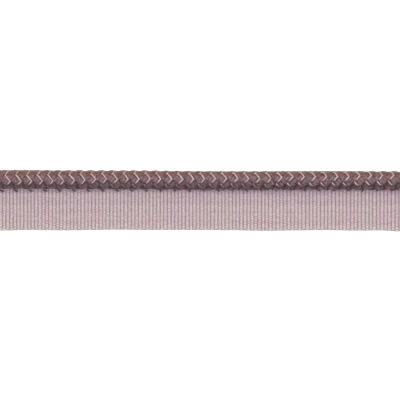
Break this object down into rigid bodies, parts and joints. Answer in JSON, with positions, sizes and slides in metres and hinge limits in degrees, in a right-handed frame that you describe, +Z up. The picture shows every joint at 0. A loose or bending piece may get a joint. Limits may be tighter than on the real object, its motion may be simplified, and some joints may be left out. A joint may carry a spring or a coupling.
{
  "type": "flanged braided cord trimming",
  "caption": "Cut length of round braided cord sewn along one edge of a flat ribbed tape, a flange by which it is sewn into a seam as an edge trim.",
  "frame": {"origin": "centre of the underside, on the surface that the tape rests on", "axes": "+X along the cord, +Y across the tape towards the cord, +Z up"},
  "size_m": [0.1524, 0.0188, 0.0075],
  "materials": {
    "cord": "satin mauve yarn with pale pink edge threads",
    "tape": "matt lilac pink rib weave"
  },
  "bodies": {
    "root": {"braided_cord": "cord", "ribbed_tape": "tape"}
  },
  "joints": []
}
